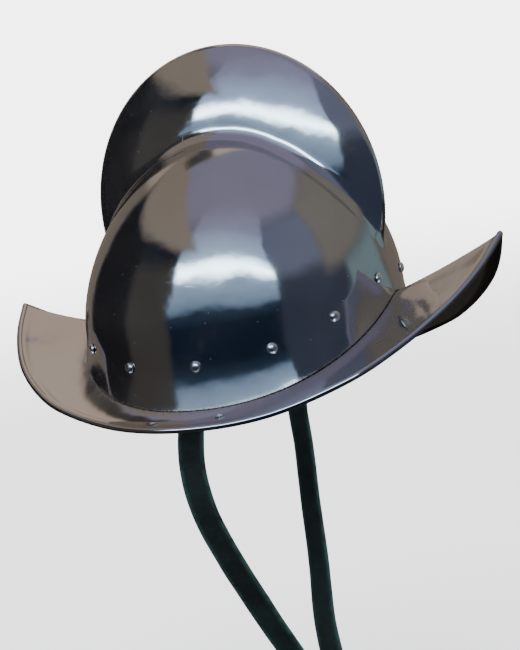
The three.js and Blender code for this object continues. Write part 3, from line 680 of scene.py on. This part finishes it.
def build_strap(material, frame_, lowered, name):
    dense, _, _ = strap_line(frame_, lowered)
    shares = np.arange(STRAP_ROWS + 1) / STRAP_ROWS
    line, length = even_along(dense, shares)
    ahead, _ = even_along(dense, np.clip(shares + 0.002, 0, 1))
    behind, _ = even_along(dense, np.clip(shares - 0.002, 0, 1))
    tangent = unit(ahead - behind)
    side = frame_["side"]
    turn = math.radians(STRAP_TURN) * np.sin(math.pi * np.clip(shares / STRAP_TURN_END, 0, 1)) ** 0.7
    across = np.stack([-side * np.sin(turn), -np.cos(turn), np.zeros_like(turn)], -1)
    wall = unit(np.array([frame_["normal"][1], -frame_["normal"][0], 0]) * side)
    blend = np.clip(1 - 4 * shares, 0, 1)[:, None]
    across = unit(across * (1 - blend) + wall * blend)
    across = unit(across - tangent * (across * tangent).sum(-1, keepdims=True))
    face = np.cross(tangent, across)
    half_w, half_t, bevel = STRAP_WIDTH / 2, STRAP_THICKNESS / 2, STRAP_BEVEL
    outline = []
    for cx, cy, start in ((1, 1, 0), (-1, 1, 90), (-1, -1, 180), (1, -1, 270)):
        for k in range(4):
            t = math.radians(start + 30 * k)
            outline.append((cx * (half_w - bevel) + bevel * math.cos(t), cy * (half_t - bevel) + bevel * math.sin(t)))
    full = []
    for k, (w, h) in enumerate(outline):
        full.append((w, h))
        nw, nh = outline[(k + 1) % len(outline)]
        if abs(nw - w) > 4:
            full += [(w + (nw - w) * s / 6, h + (nh - h) * s / 6) for s in range(1, 6)]
    outline = np.array(full)
    wander = 0.35 * np.sin(shares * 23) * np.sin(math.pi * np.clip(shares * 1.1, 0, 1))
    wander = wander * np.clip((0.9 - shares) * 12, 0, 1) * np.clip((shares - 0.15) * 10, 0, 1)
    rings = (
        line[:, None]
        + across[:, None] * (outline[None, :, :1] * (1 - 0.012 * np.abs(np.sin(shares * 31)))[:, None, None])
        + face[:, None] * outline[None, :, 1:]
        + across[:, None] * wander[:, None, None]
    )
    count = len(outline)
    faces = grid_faces(STRAP_ROWS + 1, count, close_columns=True).tolist()
    last = STRAP_ROWS * count
    faces.append(tuple(range(count))[::-1])
    faces.append(tuple(range(last, last + count)))
    # Mask for the strap's lighter edges, partly wear and partly a painted highlight
    edge = np.clip((np.abs(outline[:, 0]) - (half_w - 1.3)) / 1.2, 0, 1)
    attributes = {"edge": np.tile(edge, STRAP_ROWS + 1)}
    obj = make_piece(name + "_leather", rings.reshape(-1, 3), faces, material, sharp=60, attributes=attributes)
    place(obj, [name], "strap_leather")
    return length


# Buckle: a closed frame with rounded corners and edges
BUCKLE_BEVEL, BUCKLE_OUTER_CORNER, BUCKLE_INNER_CORNER = 0.7, 2.2, 0.5


def rounded_outline(width, height, radius, steps=6):
    points = []
    for cx, cy, start in ((1, 1, 0), (-1, 1, 90), (-1, -1, 180), (1, -1, 270)):
        for k in range(steps + 1):
            t = math.radians(start + 90 * k / steps)
            x = cx * (width / 2 - radius) + radius * math.cos(t)
            points.append((x, cy * (height / 2 - radius) + radius * math.sin(t)))
    return np.array(points)


def build_buckle(material, y, z):
    in_width = STRAP_WIDTH + 2 * BUCKLE_CLEARANCE
    in_height = 2 * STRAP_THICKNESS + SEAT_GAP + 2 * BUCKLE_CLEARANCE
    half, edge = BUCKLE_LENGTH / 2, BUCKLE_BEVEL
    turns = np.radians(np.linspace(0, 90, 5))
    rows = []
    for x, inset in [(-half + edge * (1 - math.sin(t)), edge * (1 - math.cos(t))) for t in turns[::-1]]:
        rows.append((x, "out", inset))
    rows += [(-x, kind, inset) for x, kind, inset in rows[::-1]]
    rows += [(x, "in", inset) for x, _, inset in rows[::-1]]
    rings = []
    for x, kind, inset in rows:
        if kind == "out":
            wide, high = in_width + 2 * BUCKLE_WALL - 2 * inset, in_height + 2 * BUCKLE_WALL - 2 * inset
            ring = rounded_outline(wide, high, BUCKLE_OUTER_CORNER)
        else:
            ring = rounded_outline(in_width + 2 * inset, in_height + 2 * inset, BUCKLE_INNER_CORNER)
        rings.append(np.column_stack([np.full(len(ring), x), ring[:, 0] + y, ring[:, 1] + z]))
    rings = np.array(rings)
    faces = grid_faces(len(rings), rings.shape[1], close_rows=True, close_columns=True)
    count = rings.shape[0] * rings.shape[1]
    attributes = {"shade_and_grime": np.full(count, 0.15), "rim_shade": np.zeros(count)}
    obj = make_piece("buckle_steel", rings.reshape(-1, 3), faces, material, sharp=45, attributes=attributes)
    place(obj, ["buckle"], "rivet_steel")


# Studio: a pale floor, and soft surroundings that the polished steel mirrors
FLOOR_RADIUS, FLOOR_SIDES, FLOOR_DROP = 4000, 96, 0.004


def build_floor(z):
    material, n = new_material("floor_paper")
    at = n.add("ShaderNodeTexCoord").outputs["Object"]
    reach = n.add("ShaderNodeVectorMath", {0: at}, operation="LENGTH").outputs["Value"]
    shade = n.mix(n.noise(at, 3, 3), (0.88, 0.88, 0.88), (0.9, 0.9, 0.9))
    paper = n.add("ShaderNodeBsdfPrincipled", {"Base Color": shade, "Roughness": 0.9})
    clear = n.add("ShaderNodeBsdfTransparent")
    inputs = {0: n.ramp(reach, 1.2, 3.8), 1: paper.outputs[0], 2: clear.outputs[0]}
    mixed = n.add("ShaderNodeMixShader", inputs)
    n.add("ShaderNodeOutputMaterial", {"Surface": mixed.outputs[0]})
    turns = np.arange(FLOOR_SIDES) / FLOOR_SIDES * 2 * math.pi
    points = np.column_stack([np.cos(turns) * FLOOR_RADIUS, np.sin(turns) * FLOOR_RADIUS, np.zeros(FLOOR_SIDES)])
    mesh = bpy.data.meshes.new("floor")
    mesh.from_pydata((points * MM).tolist(), [], [tuple(range(FLOOR_SIDES))])
    mesh.materials.append(material)
    floor = bpy.data.objects.new("floor", mesh)
    bpy.context.scene.collection.objects.link(floor)
    floor.location.z = z
    floor.visible_glossy = False


# Broad soft panels of the studio that the steel mirrors. Their places and colours are set from the
# reflections seen in the reference photograph. Each row gives low and high of two coordinates,
# softness of both, and colour. "round": azimuth and elevation in degrees. "roof": right and forward over height.
ROOF, WARM, DARK, SHADE = (0.27, 0.255, 0.36), (0.3, 0.25, 0.2), (0.015, 0.015, 0.018), (0.06, 0.055, 0.05)
PANELS = [
    ("round", -200, -138, -20, 62, 6, 5, (0.2, 0.17, 0.14)),
    ("round", -138, -90, -20, 36, 5, 4, DARK),
    ("round", -90, -57, -20, 30, 4, 6, SHADE),
    ("round", 10, 80, -30, 20, 6, 6, (0.04, 0.05, 0.08)),
    ("round", 10, 60, 20, 50, 5, 6, (0.16, 0.18, 0.26)),
    ("round", 58, 200, 14, 54, 7, 6, (0.22, 0.2, 0.175)),
    ("round", 80, 124, -8, 14, 5, 5, (0.2, 0.28, 0.3)),
    ("round", 124, 200, -20, 14, 6, 5, (0.2, 0.17, 0.14)),
    ("roof", -0.9, -0.22, -0.72, -0.44, 0.04, 0.04, SHADE),
    ("roof", -0.22, 0.9, -1.1, -0.43, 0.04, 0.03, (0.65, 0.52, 0.42)),
    ("roof", -0.9, 0.9, -2.4, -1.1, 0.1, 0.06, (0.45, 0.37, 0.3)),
]
# One soft window and the wall round it: height over the distance ahead, and colour. The wall is turned a
# little from the camera's side, and the two shares are the cosine and sine of that turn.
WALL_AHEAD, WALL_ASIDE = 0.894, 0.447
RISE_LOW, RISE_HIGH = -0.2, 2.4
WINDOW = [
    (-0.15, (0.006, 0.014, 0.03)),
    (0.07, (0.02, 0.04, 0.075)),
    (0.15, (0.25, 0.36, 0.5)),
    (0.4, (0.45, 0.62, 0.85)),
    (0.52, (6, 8, 9)),
    (0.57, (6, 8, 9)),
    (0.72, (0.6, 0.78, 1.1)),
    (1.4, (0.34, 0.35, 0.5)),
    (2.35, ROOF),
]


def build_world(back, level):
    world = bpy.data.worlds.new("studio")
    bpy.context.scene.world = world
    world.use_nodes = True
    n = Nodes(world.node_tree)
    look = n.add("ShaderNodeTexCoord").outputs["Generated"]
    forward = Vector((back.x, back.y, 0)).normalized()
    near = n.add("ShaderNodeVectorMath", {0: look, 1: tuple(forward)}, operation="DOT_PRODUCT").outputs["Value"]
    right = n.add("ShaderNodeVectorMath", {0: look, 1: tuple(level)}, operation="DOT_PRODUCT").outputs["Value"]
    height = n.add("ShaderNodeSeparateXYZ", {0: look}).outputs["Z"]
    azimuth = n.math("MULTIPLY", n.math("ARCTAN2", right, near), 180 / math.pi)
    elevation = n.math("MULTIPLY", n.math("ARCSINE", height), 180 / math.pi)
    above = n.math("MAXIMUM", height, 0.02)
    aside, ahead = n.math("DIVIDE", right, above), n.math("DIVIDE", near, above)

    def box(first, second, low, high, low_two, high_two, soft, soft_two):
        across = n.math("MULTIPLY", n.ramp(first, low - soft, low + soft), n.ramp(first, high + soft, high - soft))
        up = n.math(
            "MULTIPLY",
            n.ramp(second, low_two - soft_two, low_two + soft_two),
            n.ramp(second, high_two + soft_two, high_two - soft_two),
        )
        return n.math("MULTIPLY", across, up)

    overhead = n.ramp(height, 0.2, 0.3)
    colour = n.mix(n.ramp(elevation, -9, -1), (0.03, 0.027, 0.022), (0.01, 0.016, 0.028))
    colour = n.mix(n.ramp(elevation, 40, 58), colour, ROOF)
    for kind, low, high, low_two, high_two, soft, soft_two, tint in PANELS:
        if kind == "round":
            mask = box(azimuth, elevation, low, high, low_two, high_two, soft, soft_two)
        else:
            mask = n.math("MULTIPLY", overhead, box(aside, ahead, low, high, low_two, high_two, soft, soft_two))
        colour = n.mix(mask, colour, tint)
    # The roof left of the window is warm, up to a slanting line
    bound = n.math("MINIMUM", n.math("SUBTRACT", -0.58, n.math("MULTIPLY", ahead, 0.45)), -0.45)
    warm = n.math("MULTIPLY", n.ramp(n.math("SUBTRACT", aside, bound), 0.03, -0.03), n.ramp(ahead, -3.0, -0.4))
    warm = n.math("MULTIPLY", warm, n.ramp(elevation, 35, 41))
    colour = n.mix(warm, colour, WARM)
    wall_ahead = n.math("SUBTRACT", n.math("MULTIPLY", near, WALL_AHEAD), n.math("MULTIPLY", right, WALL_ASIDE))
    wall_aside = n.math("ADD", n.math("MULTIPLY", near, WALL_ASIDE), n.math("MULTIPLY", right, WALL_AHEAD))
    facing = n.math("MAXIMUM", wall_ahead, 0.02)
    rise, side = n.math("DIVIDE", height, facing), n.math("DIVIDE", wall_aside, facing)
    ramp = n.add("ShaderNodeValToRGB", {"Fac": n.ramp(rise, RISE_LOW, RISE_HIGH, smooth=False)})
    stops = ramp.color_ramp.elements
    span = RISE_HIGH - RISE_LOW
    stops[0].position, stops[0].color = (WINDOW[0][0] - RISE_LOW) / span, (*WINDOW[0][1], 1)
    stops[1].position, stops[1].color = (WINDOW[-1][0] - RISE_LOW) / span, (*WINDOW[-1][1], 1)
    for at, tint in WINDOW[1:-1]:
        stops.new((at - RISE_LOW) / span).color = (*tint, 1)
    edge = n.math("MULTIPLY", n.ramp(side, -0.66, -0.58), n.ramp(side, 0.82, 0.74))
    edge = n.math("MULTIPLY", edge, n.ramp(rise, 2.4, 1.7))
    edge = n.math("MULTIPLY", edge, n.math("SUBTRACT", 1.0, warm))
    colour = n.mix(n.math("MULTIPLY", edge, n.ramp(wall_ahead, 0.05, 0.15)), colour, ramp.outputs["Color"])
    path = n.add("ShaderNodeLightPath")
    # Glossy rays meet the mirrored room, diffuse rays plain soft light, and the camera a plain pale backdrop
    soft_light = n.mix(n.ramp(elevation, -10, 60), (2.3, 2.31, 2.34), (3.0, 3.02, 3.06))
    colour = n.mix(path.outputs["Is Glossy Ray"], soft_light, colour)
    colour = n.mix(path.outputs["Is Camera Ray"], colour, (5.0, 5.0, 5.03))
    background = n.add("ShaderNodeBackground", {"Color": colour, "Strength": 1.0})
    n.add("ShaderNodeOutputWorld", {"Surface": background.outputs[0]})


def build_lights(back, level):
    data = bpy.data.lights.new("soft_key", "AREA")
    data.shape, data.size, data.size_y, data.energy = "RECTANGLE", 0.9, 0.7, 9
    data.color = (0.93, 0.97, 1.0)
    light = bpy.data.objects.new("soft_key", data)
    bpy.context.scene.collection.objects.link(light)
    forward = Vector((back.x, back.y, 0)).normalized()
    light.location = forward * 1.1 - level * 0.7 + Vector((0, 0, 1.2))
    aim = Vector((0, 0, 0.02)) - light.location
    light.rotation_mode = "QUATERNION"
    light.rotation_quaternion = aim.to_track_quat("-Z", "Y")
    light.visible_camera = False
    light.visible_glossy = False


view_back, view_level = make_camera()
polished = steel_material("polished_steel", (0.6, 0.605, 0.63), 0.06, 1.0)
bright = steel_material("rivet_steel", (0.76, 0.77, 0.79), 0.16, 0.3)
leather = leather_material("strap_leather")
rivets = rivet_frames()
build_skull(polished, rivets)
build_brim(polished)
build_rivets(bright, rivets)
held = [frame_ for frame_ in rivets if frame_["strap"]]
lengths = []
for frame_ in held:
    step_down = STRAP_THICKNESS + SEAT_GAP if frame_["side"] < 0 else 0
    name = "strap_right" if frame_["side"] < 0 else "strap_left"
    lengths.append(build_strap(leather, frame_, step_down, name))
_, strap_start, strap_bottom = strap_line(held[0], 0)
build_buckle(bright, strap_start[1] - STRAP_FORWARD, strap_bottom - (STRAP_THICKNESS + SEAT_GAP) / 2)
print("strap halves in mm:", [round(v, 1) for v in lengths])
build_floor(cad_low.z - FLOOR_DROP)
build_world(view_back, view_level)
build_lights(view_back, view_level)
